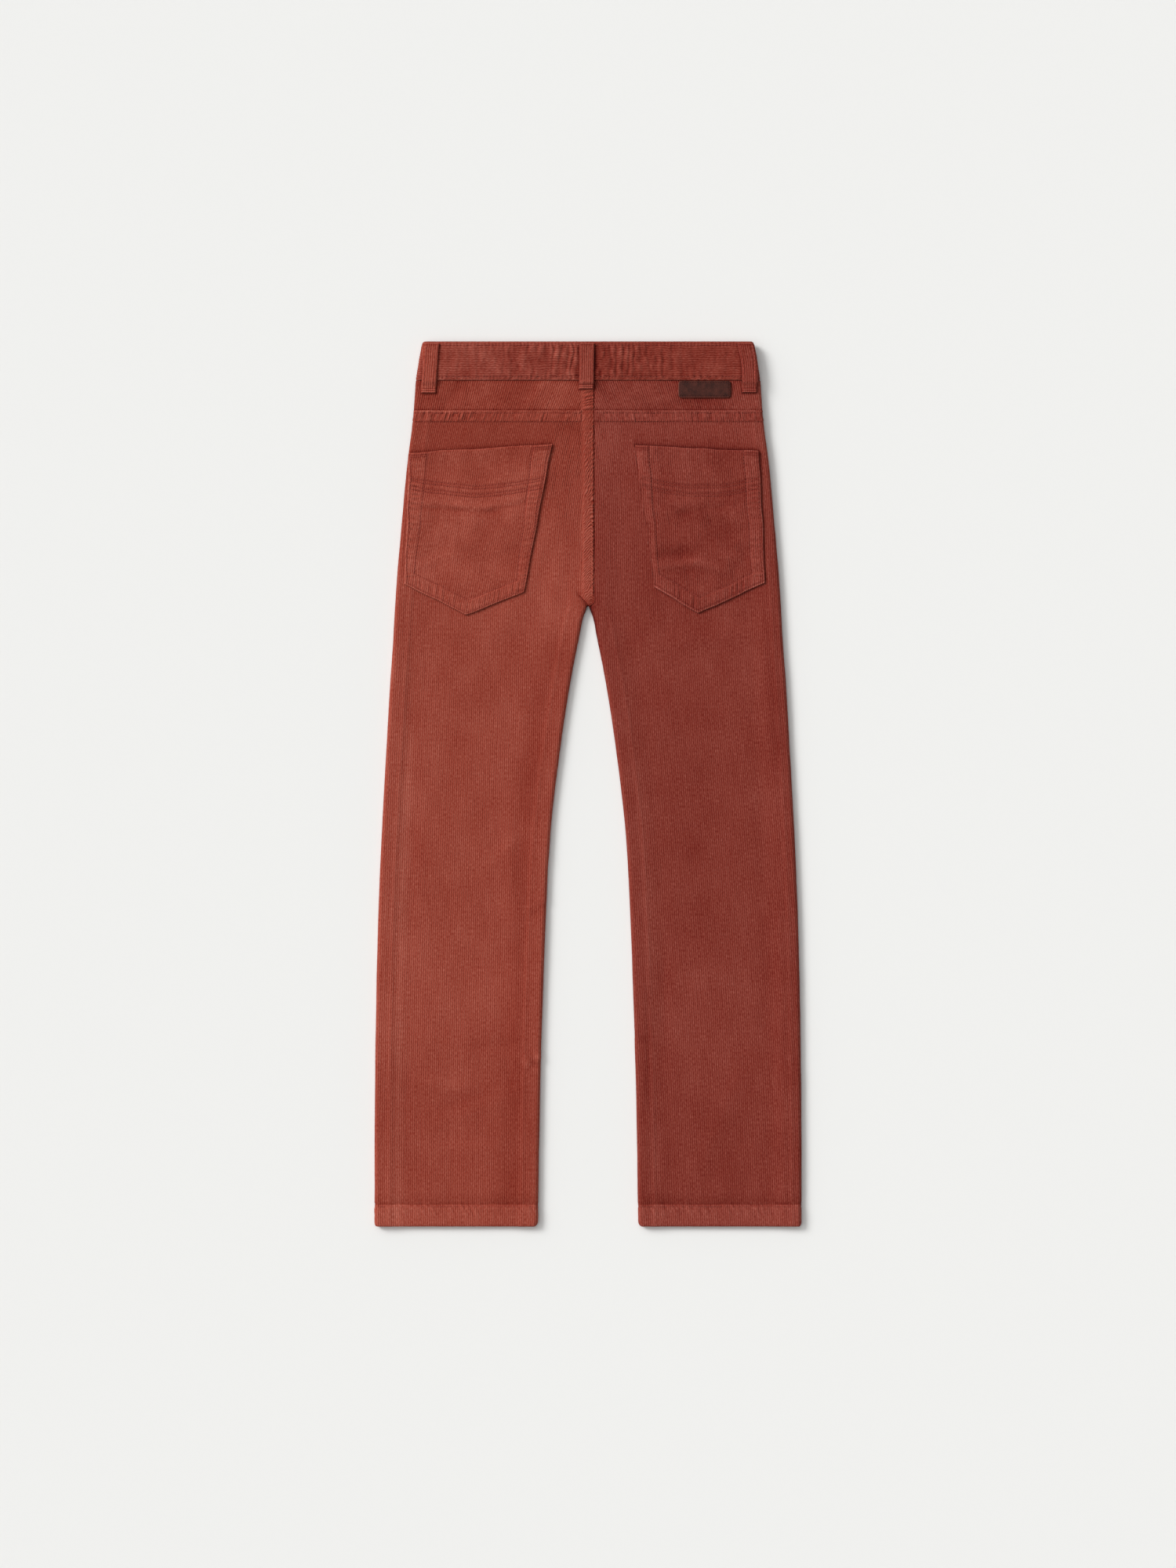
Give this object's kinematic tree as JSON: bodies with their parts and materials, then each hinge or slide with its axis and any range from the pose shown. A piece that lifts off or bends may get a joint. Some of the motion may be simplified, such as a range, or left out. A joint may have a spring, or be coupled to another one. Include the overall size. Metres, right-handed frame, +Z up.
{
  "type": "child's corduroy trousers laid flat",
  "caption": "Child's corduroy trousers laid flat on their front, with an elasticated back waistband, yokes, patch pockets, belt loops, a leather patch and turned-up hems.",
  "frame": {"origin": "on the surface that the trousers lie on, under the middle of their length and width", "axes": "+Y from the hems to the waist, +X towards the wearer's right, +Z up, out of the back of the trousers"},
  "size_m": [0.3668, 0.76, 0.012],
  "materials": {
    "corduroy": "rust-red cotton corduroy, about 14 wales to the inch, the nap lighter on the wearer's left half",
    "leather": "dark brown smooth leather, bare",
    "button": "plain antique metal"
  },
  "bodies": {
    "root": {"back_leg_left": "corduroy", "back_leg_right": "corduroy", "front_leg_left": "corduroy", "front_leg_right": "corduroy", "back_yoke_left": "corduroy", "back_yoke_right": "corduroy", "waistband_back": "corduroy", "waistband_front_left": "corduroy", "waistband_front_right": "corduroy", "back_pocket_left": "corduroy", "back_pocket_right": "corduroy", "belt_loop_back_left": "corduroy", "belt_loop_back_centre": "corduroy", "belt_loop_back_right": "corduroy", "belt_loop_front_left": "corduroy", "belt_loop_front_right": "corduroy", "fly_flap": "corduroy", "leather_patch": "leather", "waist_button": "button"}
  },
  "joints": []
}
